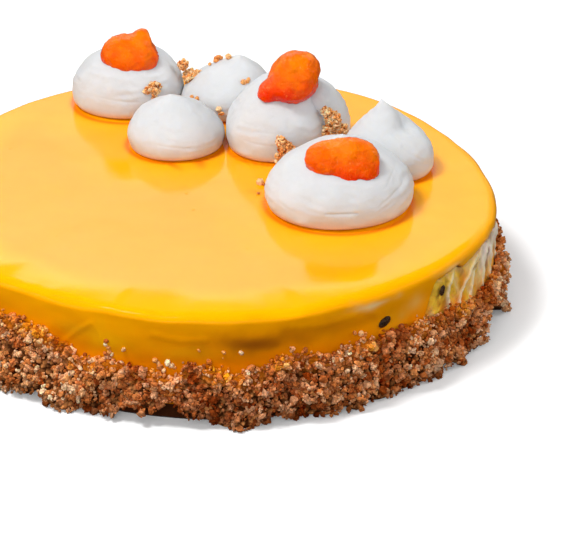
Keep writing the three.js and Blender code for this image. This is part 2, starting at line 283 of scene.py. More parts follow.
def polar(points):
    """Radius and angle of points round the cake's middle."""
    return np.hypot(points[:, 0], points[:, 1]), np.arctan2(points[:, 1], points[:, 0])


# ---- meshes ----

def split_quads(a, b, c, d):
    """Two triangles for each quad with corners a, b in one row and c, d in the next."""
    return np.concatenate([np.stack([a, b, d], -1).reshape(-1, 3), np.stack([a, d, c], -1).reshape(-1, 3)])


def closed_surface(rings):
    """Vertices and triangles of a grid (rows, columns, 3) whose columns close into rings and
    whose first and last rows shrink to one pole each."""
    rows, columns = rings.shape[:2]
    points = np.concatenate([rings[0].mean(0)[None], rings[1:-1].reshape(-1, 3), rings[-1].mean(0)[None]])
    column = np.arange(columns)
    after = (column + 1) % columns
    start = 1 + np.arange(rows - 3)[:, None] * columns
    a, b = start + column, start + after
    last = 1 + (rows - 3) * columns
    top = np.full(columns, len(points) - 1)
    triangles = np.concatenate([
        np.stack([0 * column, 1 + after, 1 + column], 1),
        split_quads(a, b, a + columns, b + columns),
        np.stack([last + column, last + after, top], 1),
    ])
    return points, triangles


GOLDEN = (1 + 5 ** 0.5) / 2
ICOSAHEDRON = (
    [(-1, GOLDEN, 0), (1, GOLDEN, 0), (-1, -GOLDEN, 0), (1, -GOLDEN, 0), (0, -1, GOLDEN), (0, 1, GOLDEN),
     (0, -1, -GOLDEN), (0, 1, -GOLDEN), (GOLDEN, 0, -1), (GOLDEN, 0, 1), (-GOLDEN, 0, -1), (-GOLDEN, 0, 1)],
    [(0, 11, 5), (0, 5, 1), (0, 1, 7), (0, 7, 10), (0, 10, 11), (1, 5, 9), (5, 11, 4), (11, 10, 2),
     (10, 7, 6), (7, 1, 8), (3, 9, 4), (3, 4, 2), (3, 2, 6), (3, 6, 8), (3, 8, 9), (4, 9, 5), (2, 4, 11),
     (6, 2, 10), (8, 6, 7), (9, 8, 1)],
)
OCTAHEDRON = (
    [(1, 0, 0), (0, 1, 0), (-1, 0, 0), (0, -1, 0), (0, 0, 1), (0, 0, -1)],
    [(0, 1, 4), (1, 2, 4), (2, 3, 4), (3, 0, 4), (1, 0, 5), (2, 1, 5), (3, 2, 5), (0, 3, 5)],
)


def ball(levels, start=ICOSAHEDRON):
    """A regular solid blown up to a unit ball, each triangle split in four as many times as levels."""
    points = np.array(start[0], float)
    triangles = np.array(start[1])
    for _ in range(levels):
        edges = np.sort(triangles[:, [[0, 1], [1, 2], [2, 0]]].reshape(-1, 2), 1)
        pairs, which = np.unique(edges, axis=0, return_inverse=True)
        middle = len(points) + which.reshape(-1, 3)
        points = np.concatenate([points, points[pairs].mean(1)])
        a, b, c = triangles.T
        ab, bc, ca = middle.T
        quarters = (a, ab, ca), (b, bc, ab), (c, ca, bc), (ab, bc, ca)
        triangles = np.concatenate([np.stack(quarter, 1) for quarter in quarters])
    return unit(points), triangles


def add_piece(name, points, triangles, finish, stands_for=(), colours=None, smooth=True):
    """A mesh object in metres riding on the cake, with a colour for each vertex if given."""
    mesh = bpy.data.meshes.new(name)
    mesh.vertices.add(len(points))
    mesh.vertices.foreach_set("co", (points * METRES).astype(np.float32).ravel())
    mesh.loops.add(triangles.size)
    mesh.loops.foreach_set("vertex_index", triangles.astype(np.int32).ravel())
    mesh.polygons.add(len(triangles))
    mesh.polygons.foreach_set("loop_start", np.arange(0, triangles.size, 3, dtype=np.int32))
    mesh.polygons.foreach_set("use_smooth", np.full(len(triangles), smooth))
    if colours is not None:
        rgba = np.concatenate([np.clip(colours, 0, 1), np.ones((len(points), 1))], 1)
        attribute = mesh.color_attributes.new("colour", "FLOAT_COLOR", "POINT")
        attribute.data.foreach_set("color", rgba.astype(np.float32).ravel())
    mesh.update(calc_edges=True)
    mesh.materials.append(finish.material)
    piece = bpy.data.objects.new(name, mesh)
    bpy.context.scene.collection.objects.link(piece)
    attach(piece, "root")
    if stands_for:
        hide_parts(*stands_for)


# ---- finishes ----

GRAIN_FALL = 0.55
SEED_BLACK = (0.012, 0.006, 0.003)
SEED_BROWN = (0.07, 0.032, 0.014)
# Pale colour of the flecks painted on the fruit as painted highlights
FRUIT_GLINT_COLOUR = (1, 0.42, 0.07, 1)


class Nodes:
    """Short calls to add and join the nodes of a tree."""

    def __init__(self, tree):
        self.tree = tree

    def node(self, kind, settings=None, **inputs):
        made = self.tree.nodes.new("ShaderNode" + kind)
        for key, value in (settings or {}).items():
            setattr(made, key, value)
        for socket, value in inputs.items():
            self.join(value, made.inputs[socket.replace("_", " ")])
        return made

    def join(self, value, socket):
        if isinstance(value, bpy.types.NodeSocket):
            self.tree.links.new(value, socket)
        else:
            socket.default_value = value

    def ramp(self, value, stops):
        """Colour ramp with stops of (position, colour)."""
        made = self.node("ValToRGB", Fac=value)
        elements = made.color_ramp.elements
        while len(elements) < len(stops):
            elements.new(0.5)
        for element, (position, colour) in zip(elements, stops):
            element.position = position
            element.color = (*colour, 1)
        return made.outputs["Color"]

    def reckon(self, kind, *values):
        """One step of arithmetic on values."""
        made = self.node("Math", {"operation": kind})
        for value, socket in zip(values, made.inputs):
            self.join(value, socket)
        return made.outputs[0]


class Finish(Nodes):
    """A node material on the Principled shader. Its patterns lie in object space."""

    def __init__(self, name, **sockets):
        self.material = bpy.data.materials.new(name)
        self.material.use_nodes = True
        super().__init__(self.material.node_tree)
        self.shader = self.tree.nodes["Principled BSDF"]
        for socket, value in sockets.items():
            self.shader.inputs[socket.replace("_", " ")].default_value = value

    def pattern(self, kind, size, **inputs):
        """Noise or cell texture with features of this size in millimetres."""
        place = self.node("TexCoord").outputs["Object"]
        return self.node(kind, Vector=place, Scale=1 / (size * METRES), **inputs)

    def grain(self, size, detail=4.0):
        return self.pattern("TexNoise", size, Detail=detail, Roughness=GRAIN_FALL).outputs["Fac"]

    def pricks(self, spacing, share):
        """Small round dots, one in each cell of this spacing in millimetres, as wide as its share."""
        return self.shades(self.pattern("TexVoronoi", spacing).outputs["Distance"], (0, 1), (share, 0))

    def shades(self, value, *stops):
        """Grey ramp with stops of (position, level)."""
        return self.ramp(value, [(position, (level,) * 3) for position, level in stops])

    def mixed(self, share, first, second, kind="MIX"):
        """Colour mix of first and second."""
        made = self.node("Mix", {"data_type": "RGBA", "blend_type": kind})
        for value, socket in ((share, 0), (first, 6), (second, 7)):
            self.join(value, made.inputs[socket])
        return made.outputs[2]

    def colour(self, value):
        self.join(value, self.shader.inputs["Base Color"])

    def painted(self, size, low, high):
        """The piece's own vertex colour, made lighter and darker by noise of this size."""
        own = self.node("VertexColor", {"layer_name": "colour"}).outputs["Color"]
        shade = self.shades(self.grain(size), (0.3, low), (0.7, high))
        self.colour(self.mixed(1, own, shade, "MULTIPLY"))

    def rough(self, size, low, high):
        """Roughness from low to high, in patches of this size."""
        made = self.node("MapRange", Value=self.grain(size), To_Min=low, To_Max=high)
        self.join(made.outputs["Result"], self.shader.inputs["Roughness"])

    def bumps(self, *heights):
        """Chain of bumps from (height, depth in millimetres)."""
        normal = self.shader.inputs["Normal"]
        for height, depth in heights:
            made = self.node("Bump", Height=height, Distance=depth * METRES)
            if normal.links:
                self.join(normal.links[0].from_socket, made.inputs["Normal"])
            self.join(made.outputs["Normal"], normal)


def make_finish(name, rough, bumps, tones=None, **sockets):
    """A food's finish: rough and tones are (noise size, low, high) for its roughness and colour,
    bumps are (noise size, detail, depth)."""
    finish = Finish(name, **sockets)
    if tones:
        finish.painted(*tones)
    finish.rough(*rough)
    finish.bumps(*[(finish.grain(size, detail), depth) for size, detail, depth in bumps])
    return finish


def add_painted_glints(finish):
    """Patches of fine pale flecks laid over the finish's colour: painted highlights."""
    base = finish.shader.inputs["Base Color"]
    glints = finish.shades(finish.grain(1.1, 3), (0.58, 0), (0.72, 0.4))
    patches = finish.shades(finish.grain(8, 2), (0.46, 0), (0.62, 1))
    share = finish.mixed(1, glints, patches, "MULTIPLY")
    finish.colour(finish.mixed(share, base.links[0].from_socket, FRUIT_GLINT_COLOUR))


glaze_finish = make_finish(
    "mango_glaze_finish", (14, 0.09, 0.17), [(26, 2, 0.22), (9, 3, 0.045)], (9, 0.96, 1),
    IOR=1.22, Subsurface_Weight=0.15, Subsurface_Scale=0.004, Subsurface_Radius=(1, 0.45, 0.1))
glaze_finish.bumps((glaze_finish.pricks(16, 0.06), -0.14))
mousse_finish = make_finish(
    "mousse_finish", (4, 0.25, 0.6), [(2.5, 4, 0.35), (0.6, 4, 0.1)], (2.5, 0.86, 1.06),
    IOR=1.3, Subsurface_Weight=0.2, Subsurface_Scale=0.003)
crumb_finish = make_finish(
    "crumb_finish", (0.9, 0.35, 0.8), [(1, 4, 0.4), (0.35, 4, 0.16)], (0.8, 0.6, 1.3),
    IOR=1.12, Subsurface_Weight=0.12, Subsurface_Scale=0.001, Subsurface_Radius=(1, 0.4, 0.15))
cream_finish = make_finish(
    "cream_finish", (5, 0.42, 0.6), [(2.2, 5, 0.12), (0.5, 4, 0.04)], (6, 0.96, 1),
    IOR=1.4, Subsurface_Weight=0.5, Subsurface_Scale=0.006, Subsurface_Radius=(1, 0.8, 0.6))
fruit_finish = make_finish(
    "fruit_finish", (3, 0.04, 0.13), [(3, 3, 0.8), (0.9, 2, 0.4)], (3.5, 0.9, 1.05),
    IOR=1.33, Subsurface_Weight=0.25, Subsurface_Scale=0.003, Subsurface_Radius=(1, 0.25, 0.02))
add_painted_glints(fruit_finish)
seed_finish = make_finish("seed_finish", (0.7, 0.15, 0.4), [(0.6, 4, 0.2)], IOR=1.5)
seed_finish.colour(seed_finish.ramp(seed_finish.grain(0.8), [(0.35, SEED_BLACK), (0.7, SEED_BROWN)]))


# ---- glaze ----

# Columns round the glaze, rows up its side and steps in over its top
GLAZE_AROUND = 700
SIDE_ROWS = 32
TOP_STEPS = np.concatenate([np.full(14, 1.0), np.full(50, 1.2), np.full(6, 2.0)])

GLAZE_PEACH = (0.97, 0.335, 0)
GLAZE_GOLD = (0.99, 0.4, 0)
GLAZE_AMBER = (0.98, 0.345, 0)
GLAZE_DEEP = (0.86, 0.21, 0)
GLAZE_CONTACT_SHADE = (0.8, 0.15, 0)

# Patches in the side of the glaze: degrees, height, half width in degrees, half height, colour, strength
GLAZE_PATCHES = [
    (-80, 31.4, 4.8, 2.2, (0.1, 0.028, 0.004), 0.95),
    (-80, 31.6, 12, 4, (0.5, 0.13, 0.002), 0.5),
    (-63, 33, 14, 3, (0.5, 0.14, 0.002), 0.45),
    (-114, 32, 4, 2.5, (0.6, 0.27, 0.005), 0.4),
    (-108, 29, 5, 6, (0.9, 0.46, 0.002), 0.5),
    (-93, 27.5, 6, 3, (0.72, 0.36, 0.004), 0.35),
    (-56, 38.2, 3.4, 1.1, (0.82, 0.66, 0.36), 0.7),
    (-51, 28, 4, 5, (0.95, 0.42, 0.01), 0.5),
    (-45.5, 33, 2.2, 3.5, (0.9, 0.5, 0.12), 0.55),
    (-35.5, 39.6, 3.2, 1.2, (0.9, 0.6, 0.25), 0.6),
    (-28, 39, 3, 1.2, (0.95, 0.45, 0.03), 0.5),
    (-3, 41, 2.5, 1.4, (0.55, 0.25, 0.03), 0.6),
    (-17, 38.4, 6, 1.4, (0.88, 0.62, 0.3), 0.55),
]

# Wrinkles in the skirt, each a line of (degrees, height), and how far they stand out
WRINKLES = [
    [(-118.5, 23), (-115, 30), (-111.3, 35.6), (-109.7, 31), (-108.7, 25)],
    [(-99, 34.5), (-94, 32.5), (-89, 33.2)],
    [(-73, 36.5), (-66, 35), (-60, 36)],
    [(-57.5, 36.5), (-55, 33.5), (-54.5, 29)],
]
WRINKLE_WIDTH = 0.9
WRINKLE_RISE = 0.3

# Beside the cream the glaze is painted gold as far as the reach below from a dollop's foot, a painted
# reflection where the cream's mirror image keeps the sheen off, and deep orange right against it, painted
# contact shade
PAINTED_MIRROR_REACH = 34.0
CONTACT_SHADE_WIDTH = 1.4
CONTACT_SHADE_STRENGTH = 0.95


def top_fall(angle, inset):
    """How far the top has fallen at a distance in from the rim: its slope grows from nought at the
    roll's start towards ROLL_SLOPE as 1-exp(-distance/ROLL_LENGTH), summed inwards to outwards."""
    run = np.maximum(along(ROLL_START, angle) + ROLL_LEAD - inset, 0)
    return ROLL_SLOPE * (run - ROLL_LENGTH * (1 - np.exp(-run / ROLL_LENGTH)))


def glaze_rings():
    """Section from the under-pole out under the cap, down the inner side, round the lip, up the
    outer side, over the shoulder and in to the top pole, carried round the uneven rim."""
    angle = np.linspace(-np.pi, np.pi, GLAZE_AROUND, endpoint=False)
    rim, edge = rim_radius(angle), skirt_edge(angle)
    under = CAKE_HEIGHT - GLAZE_TOP + GAP
    inner_round = SHOULDER - GLAZE_SIDE
    rings = []

    def ring(radius, height):
        rings.append(round_point(angle, radius, height))

    for share in (0, 0.5, 0.9):
        ring(share * (rim - SHOULDER), under)
    for inset, height in arc(-GLAZE_SIDE - inner_round, under - inner_round, inner_round, 90, 0, 3):
        ring(rim + inset, height)
    half = GLAZE_SIDE / 2
    ring(rim - GLAZE_SIDE, edge + GLAZE_SIDE)
    for inset, rise in arc(-half, half, half, -170, -15, 6):
        ring(rim + inset, edge + rise)
    shoulder_foot = CAKE_HEIGHT - SHOULDER
    for share in np.linspace(0, 1, SIDE_ROWS)[1:-1]:
        ring(rim, edge + half + share * (shoulder_foot - edge - half))
    for inset, height in arc(-SHOULDER, shoulder_foot, SHOULDER, 0, 88, 14):
        fall = top_fall(angle, -inset) * (height - shoulder_foot) / SHOULDER
        ring(rim + inset, height - fall)
    insets = SHOULDER + np.cumsum(TOP_STEPS)
    for inset in insets:
        ring(rim - inset, CAKE_HEIGHT - top_fall(angle, inset))
    for share in (0.6, 0.25, 0):
        ring(share * (rim - insets[-1]), CAKE_HEIGHT)
    return np.array(rings)


def outer_shoulder(points, radius, angle):
    """1 on the rounded shoulder of the glaze, falling to 0 down the side and in over the top."""
    inset = rim_radius(angle) - radius
    level = bell((points[:, 2] - (CAKE_HEIGHT - 1.6)) / 1.8)
    return level * (1 - smooth_step(inset, 3.5, 7)) * smooth_step(-inset, -12, -7)


def glaze_relief(points):
    """Soft unevenness: the side moves in and out by stretched noise of 17 mm and by a bell of the
    distance from each wrinkle, the shoulder by noise of 16 and 7 mm, the top up and down by less."""
    radius, angle = polar(points)
    height = points[:, 2]
    outer = smooth_step(radius, rim_radius(angle) - 1.5, rim_radius(angle) - 0.6)
    side = outer * smooth_step(height, 20, 27) * (1 - smooth_step(height, 38, 43))
    out = side * 0.55 * layered(points * [1, 1, 1.6], 17, 5, 2)
    across = np.stack([angle * CAKE_RADIUS, height], 1)
    for line in WRINKLES:
        path = np.array(line) * [np.radians(CAKE_RADIUS), 1]
        out = out + side * WRINKLE_RISE * bell(distance_to_line(across, path) / WRINKLE_WIDTH)
    shoulder = outer_shoulder(points, radius, angle)
    out = out + shoulder * (0.5 * noise(points, 16, 23) + 0.25 * noise(points, 7, 24))
    scale = 1 + out / np.maximum(radius, 1)
    flat = points * [1, 1, 0]
    wave = 0.10 * noise(flat, 33, 21) + 0.03 * noise(flat, 13, 22)
    moved = points * np.stack([scale, scale, np.ones_like(scale)], 1)
    moved[:, 2] += smooth_step(height, 42.0, 42.8) * wave
    return moved


def glaze_colours(points):
    """Gold at the rim and beside the cream and peach between them, painted reflection: gold where the
    sheen is kept off, by the rim and where the glaze mirrors the cream, peach where the sheen lies;
    orange against the cream, painted contact shade; amber down the side and deeper towards the
    crumbs, mottled by noise, with the patches laid over."""
    radius, angle = polar(points)
    height = points[:, 2]
    inset = rim_radius(angle) - radius
    foot = np.min([np.hypot(points[:, 0] - d["x"], points[:, 1] - d["y"]) - d["radius"] for d in DOLLOPS], 0)
    # peach under the sheen, gold by the rim and beside the cream: painted reflection
    peach = smooth_step(inset, 8, 24) * smooth_step(foot, 4, PAINTED_MIRROR_REACH)
    depth = 1 - smooth_step(height, 32, 43)
    colour = blend_colours(GLAZE_GOLD, GLAZE_PEACH, peach)
    # deep orange right against the cream: painted contact shade
    colour = blend_colours(colour, GLAZE_CONTACT_SHADE, CONTACT_SHADE_STRENGTH * bell(foot / CONTACT_SHADE_WIDTH))
    colour = blend_colours(colour, GLAZE_AMBER, depth)
    colour = blend_colours(colour, GLAZE_DEEP, (1 - smooth_step(height, 22, 34)) * 0.7)
    mottle = 0.5 + 0.5 * layered(points * [1, 1, 2.2], 15, 31)
    colour = colour * (1 - 0.2 * (mottle * depth)[:, None])
    outer = smooth_step(inset, 3.5, 1.5)
    wobble = 1 + 0.35 * layered(points, 6, 41)
    for at, level, wide, tall, patch, strength in GLAZE_PATCHES:
        near = bell((np.degrees(angle) - at) / wide * wobble) * bell((height - level) / tall * wobble)
        colour = blend_colours(colour, patch, strength * outer * near)
    return colour


def make_glaze():
    points, triangles = closed_surface(glaze_rings())
    points = glaze_relief(points)
    add_piece("glaze_coat", points, triangles, glaze_finish, ["mango_glaze"], glaze_colours(points))


# ---- mousse ----

MOUSSE_AROUND = 720
MOUSSE_PALE = (0.96, 0.64, 0.22)
MOUSSE_YELLOW = (0.95, 0.58, 0.05)
MOUSSE_ORANGE = (0.95, 0.3, 0.01)
MOUSSE_BROWN = (0.3, 0.13, 0.02)
STRAND_CREAM = (1, 0.88, 0.66)
FILM_GREY = (1, 0.84, 0.7)


def bare_share(angle, height):
    """1 on the bare face under the torn edge, 0 behind the skirt."""
    return 1 - smooth_step(height - skirt_edge(angle), -0.8, 0.1)


def strand_share(angle, height):
    """1 along each strand, a bell of the distance round the cake to its own angle at that height."""
    share = np.zeros(np.broadcast(angle, height).shape)
    for strand in STRANDS:
        degrees, level = np.array(strand[::-1]).T
        middle = np.interp(height, level, degrees)
        away = (np.degrees(angle) - middle) * np.radians(CAKE_RADIUS) / STRAND_WIDTH
        share = np.maximum(share, bell(away) * smooth_step(level[-1] - height, -1.0, 1.0))
    return share


def mousse_rings():
    """Section up the side and in over the top: full width below the skirt's edge and stepped in
    above it, with slanting folds from stretched noise and the strands on the bare face."""
    angle = np.linspace(-np.pi, np.pi, MOUSSE_AROUND, endpoint=False)
    rim = rim_radius(angle)
    top = CAKE_HEIGHT - GLAZE_TOP
    round_radius = SHOULDER - GLAZE_SIDE
    rings = [round_point(angle, share * (rim - FOOT_BEVEL), 0) for share in (0, 0.6, 1)]
    heights = np.concatenate([[FOOT_BEVEL, 8, 14], np.arange(18, top - round_radius, 0.45)])
    for height in heights:
        bare = bare_share(angle, height)
        across = (angle * CAKE_RADIUS + FOLD_SLANT * height) / 2.6
        place = np.stack([across, np.full_like(angle, height / 9), 0 * angle], 1)
        folds = noise(place, 1, 51) * 0.55 + noise(place * 2.3, 1, 52) * 0.25 - 0.55
        rough = layered(round_point(angle, rim, height), 1.6, 55, 2) * 0.16
        strands = STRAND_RISE * strand_share(angle, height)
        out = bare * (folds + rough + strands) * smooth_step(height, 16, 22)
        rings.append(round_point(angle, rim - GAP - GLAZE_SIDE * (1 - bare) + out, height))
    for inset, height in arc(-GLAZE_SIDE - GAP - round_radius, top - round_radius, round_radius, 0, 90, 4):
        rings.append(round_point(angle, rim + inset, height))
    for share in (0.6, 0):
        rings.append(round_point(angle, share * (rim - SHOULDER), top))
    return np.array(rings)


def mousse_colours(points):
    """Cream streaked with yellow by stretched noise. Over it, each with a share from noise, steps
    and bells of angle and height: white film, brown pits, orange stains near the crumbs, pale
    strands, the slit painted dark as painted shade, the painted shadow of the torn edge, a thin
    smear of glaze, and dark at the foot, painted shade where the crumbs leave a gap."""
    angle = polar(points)[1]
    degrees, height = np.degrees(angle), points[:, 2]
    streak = np.stack([(angle * CAKE_RADIUS + FOLD_SLANT * height) / 2.2, height / 8, 0 * height], 1)
    yellow = layered(streak, 1, 61) + 0.9 * bell((degrees + 38) / 6) - 0.03 * (height - 30)
    film = smooth_step(degrees, -26, -20) * smooth_step(height, 24, 31)
    pit = smooth_step(layered(points * [1, 1, 0.6], 4.5, 65), 0.15, 0.8) * 0.75
    # the slit: a dark brown line, painted shade of a crack
    slit = bell((degrees - np.interp(height, [31, 36], [-27, -24])) / 0.55) * bell((height - 33.5) / 2.2)
    low = (1 - smooth_step(height, 20, 31)) * smooth_step(layered(points, 5, 63), -0.6, 0.3)
    stain = np.maximum(low * bell((degrees + 33) / 14), 0.5 * low)
    stain = np.maximum(stain, 0.8 * bell((degrees + 30.3) / 1.6) * bell((height - 31) / 4))
    thin = 1 - smooth_step(degrees + 2.5 * layered(points, 5, 67), -45, -39.5)
    torn_line = bell((height - skirt_edge(angle) + 0.4) / 0.8) * 0.5 * smooth_step(degrees, -46, -38)
    colour = blend_colours(MOUSSE_PALE, MOUSSE_YELLOW, smooth_step(yellow, -0.1, 0.8))
    for share, shade in (
        (film, FILM_GREY), (pit, MOUSSE_BROWN), (stain, MOUSSE_ORANGE),
        (0.85 * strand_share(angle, height), STRAND_CREAM), (0.9 * slit, MOUSSE_BROWN),
        (torn_line, MOUSSE_BROWN), (0.85 * thin * smooth_step(degrees, -60, -55), GLAZE_AMBER),
        # dark at the foot: painted shade where the crumbs leave a gap
        (1 - smooth_step(height, 14, 17), PAINTED_GAP_SHADE),
    ):
        colour = blend_colours(colour, shade, share)
    return colour


def make_mousse():
    points, triangles = closed_surface(mousse_rings())
    add_piece("mousse_core", points, triangles, mousse_finish, ["mousse"], mousse_colours(points))


def make_seed(name, place):
    """A flattened drop: an egg of the seed's half sizes, narrower at one end, pitted by noise."""
    degrees, height, turn, share = place
    points, triangles = ball(4)
    points = points * share * np.array(SEED_HALF) * (1 - 0.16 * points[:, 1:2])
    points *= 1 + 0.05 * layered(points, 1.2, 71)[:, None]
    angle = np.radians(degrees)
    x, y, z = points.T
    y, z = turned(y, z, np.radians(turn))
    x, y = turned(x + (rim_radius(angle) + 0.1), y, angle)
    add_piece(name, np.stack([x, y, z + height], 1), triangles, seed_finish)


# ---- crumbs ----

# Colours of the crumbs, of the gaps between them (painted shade) and of the band's stained crest,
# and the painted shade of those deep in it
CRUMB_DARK = (0.32, 0.05, 0.002)
CRUMB_MID = (0.8, 0.31, 0.095)
CRUMB_LIGHT = (1, 0.66, 0.42)
CRUMB_ORANGE = (0.95, 0.32, 0.01)
PAINTED_GAP_SHADE = (0.055, 0.013, 0.003)
CORE_STAIN = (0.5, 0.13, 0.004)
RECESS_PAINTED_SHADE = (0.56, 0.28, 0.1)

# How much darker and browner the crumbs are along the band, [degrees, 0 pale to 1 brown], and the darkest
# tint
BAND_DARKENING = np.array([
    (-180, 0.1), (-145, 0), (-112, 0), (-102, 0.7), (-95, 1), (-82, 0.8), (-70, 0.6), (-55, 0.2), (-32, 0.4),
    (-20, 0.05), (0, 0.15), (60, 0.3), (120, 0.3), (180, 0.1),
])
BAND_DARKEST_TINT = (0.58, 0.4, 0.3)

# Stretches where the crumbs end short of the floor: (degrees, half width in degrees, how far up)
FOOT_NOTCHES = [
    (-95.8, 3.6, 9.5), (-102.5, 5.5, 5.5), (-90.5, 3, 3), (-76, 3, 2.5), (-123, 3, 2.2),
    (-64, 2.5, 1.6), (-38, 3, 2.6), (-20, 7, 11), (12, 3, 4), (47, 4, 2.5), (83, 3, 4), (121, 4, 3),
    (163, 3, 4), (-150, 3, 3),
]

# Big knobs of crumbs on the right: degrees, height, reach and how far out, in millimetres
BAND_KNOBS = [
    (-21, 18, 4.5, 3), (-13, 14, 4, 2.4), (-17, 23.5, 3, 1.6), (-44, 15, 5, 1.2), (-70, 12, 5, 1),
]

# Columns and rows of the band's face, width of one crumb on it, and the gap under the foot
BAND_AROUND = 1380
BAND_ROWS = 56
RELIEF_CELL = 1.7
FLOOR_GAP = 0.4


def crest(angle):
    """Height of the band's ragged top edge."""
    ragged = 0.8 * noise(np.stack([angle * CAKE_RADIUS, 0 * angle, 0 * angle], -1), 3.1, 81)
    return along(CREST_HEIGHT, angle) + ragged


def foot_gap(angle):
    """Height of the bare gap under the crumbs: bells at the notches."""
    degrees = np.degrees(angle)
    return sum(high * bell((degrees - at) / wide) ** 2 for at, wide, high in FOOT_NOTCHES)


def knobs(angle, up):
    """Single big knobs in the band: a bell round each of BAND_KNOBS."""
    degrees, height = np.degrees(angle), up * BAND_HEIGHT
    return sum(out * bell(np.hypot((degrees - at) * np.radians(CAKE_RADIUS), height - level) / wide)
               for at, level, wide, out in BAND_KNOBS)


def clusters(angle, up):
    """How far clusters of crumbs stand out of the band: noise of 10 and 5 mm over its face."""
    place = np.stack(np.broadcast_arrays(angle * CAKE_RADIUS, up * BAND_HEIGHT, 0.0), -1)
    return 1.7 * noise(place, 10, 83) + 1.9 * noise(place, 5.4, 84)


def band_face(angle, up):
    """Radius of the band's outer face, up from 0 at the foot to 1 at the crest: foot thickness
    falling to crest thickness as up**taper, thinner on the right, moved in and out by clusters
    and knobs, and cut back over each notch."""
    thick = BAND_FOOT + (BAND_CREST - BAND_FOOT) * up ** BAND_TAPER
    thick = thick * (1 - 0.45 * bell((np.degrees(angle) + 5) / 35))
    gap = foot_gap(angle)
    notch = 3.5 * smooth_step(gap + 1 - up * BAND_HEIGHT, 0, 2.5) * smooth_step(gap, 0.5, 2)
    return rim_radius(angle) + GAP + thick + clusters(angle, up) + knobs(angle, up) - notch


def grain_relief(angle, height):
    """Height of crumbs on the face: in each cell of a jittered lattice of RELIEF_CELL a dome
    sqrt(1-(distance/reach)^2) of random reach, the highest of the nine round each point."""
    across = np.stack([angle * CAKE_RADIUS / RELIEF_CELL, height / RELIEF_CELL], -1)
    cell = np.floor(across)
    best = np.zeros(across.shape[:-1])
    count = round(FULL_TURN * CAKE_RADIUS / RELIEF_CELL)
    for step in np.ndindex(3, 3):
        here = cell + np.array(step) - 1
        name = np.stack([here[..., 0] % count, here[..., 1], 0 * here[..., 0]], -1)
        jitter = np.stack([lattice(name, 91), lattice(name, 92)], -1) * 0.42 + 0.5
        reach = 0.62 + 0.22 * lattice(name, 93)
        away = np.linalg.norm(across - here - jitter, axis=-1) / reach
        dome = np.sqrt(np.maximum(1 - away * away, 0))
        best = np.maximum(best, dome * (0.8 + 0.5 * lattice(name, 94)))
    return best


def make_band_core():
    """Ring from the inner wall out over the foot, up the knobbly face and over the crest."""
    angle = np.linspace(-np.pi, np.pi, BAND_AROUND, endpoint=False)
    inner, high = rim_radius(angle) + GAP, crest(angle)
    low = FLOOR_GAP + 0.9 * foot_gap(angle)
    rings = [round_point(angle, inner, 0.5 * (low + high)), round_point(angle, inner, low)]
    shade = [0 * angle, 0 * angle]
    for up in np.linspace(0, 1, BAND_ROWS):
        relief = grain_relief(angle, up * high)
        fade = smooth_step(up, 0, 0.04) * (1 - 0.6 * smooth_step(up, 0.94, 1))
        out = band_face(angle, up) - 2.0 + 1.3 * relief * fade
        rings.append(round_point(angle, np.maximum(out, inner + 0.6), low + up * (high - low)))
        shade.append(relief)
    rings.append(round_point(angle, inner + 0.3, high - 0.2))
    shade.append(0 * angle)
    rings = np.array(rings)
    rows, columns = rings.shape[:2]
    row = np.arange(rows)[:, None] * columns
    below = ((np.arange(rows) + 1) % rows)[:, None] * columns
    column = np.arange(columns)
    after = (column + 1) % columns
    triangles = split_quads(row + column, row + after, below + column, below + after)
    points = rings.reshape(-1, 3)
    # the hollows of the core are painted dark: painted shade between the crumbs
    colour = blend_colours(PAINTED_GAP_SHADE, CRUMB_MID, np.clip(np.array(shade).ravel() - 0.35, 0, 1))
    near_crest = smooth_step(points[:, 2] - crest(polar(points)[1]), -7, -2) * 0.9
    colour = blend_colours(colour, CORE_STAIN, near_crest)
    add_piece("crumb_band_core", points, triangles, crumb_finish, ["crumb_band"], colour)


CHIP = ball(1, OCTAHEDRON)
PEBBLE = ball(0)


def grains(centres, sizes, colours, shape, seed, ragged=0.26):
    """One mesh of crumbs: a unit shape for each centre, its vertices pushed in and out at random,
    then stretched, turned by random angles, and coloured one by one, each vertex painted darker the
    further it is pushed in and lighter the further out: painted shade and light."""
    draw = np.random.default_rng(seed)
    corners, faces = shape
    count = len(centres)
    reach = 1 + ragged * draw.uniform(-1, 1, (count, len(corners), 1))
    stretch = draw.uniform(0.62, 1.3, (count, 1, 3))
    shapes = corners[None] * reach * stretch * sizes[:, None, None]
    for first, second in ((0, 1), (1, 2), (0, 2)):
        turn = draw.uniform(0, FULL_TURN, (count, 1))
        shapes[..., first], shapes[..., second] = turned(shapes[..., first], shapes[..., second], turn)
    points = (shapes + centres[:, None]).reshape(-1, 3)
    triangles = (faces[None] + np.arange(count)[:, None, None] * len(corners)).reshape(-1, 3)
    # painted shade in the pits and painted light on the bumps of each crumb
    pit = np.clip(1 + 2.3 * (reach - 1), 0.42, 1.4)
    shaded = (colours[:, None] * pit).reshape(-1, 3)
    return points, triangles, shaded


def crumb_colours(draw, count):
    """Tan crumbs from dark to light, most of them in the middle."""
    tone = draw.beta(2.3, 1.8, count)
    dark = blend_colours(CRUMB_DARK, CRUMB_MID, np.clip(tone * 2, 0, 1))
    return dark + (np.array(CRUMB_LIGHT) - CRUMB_MID) * np.clip(tone * 2 - 1, 0, 1)[:, None]


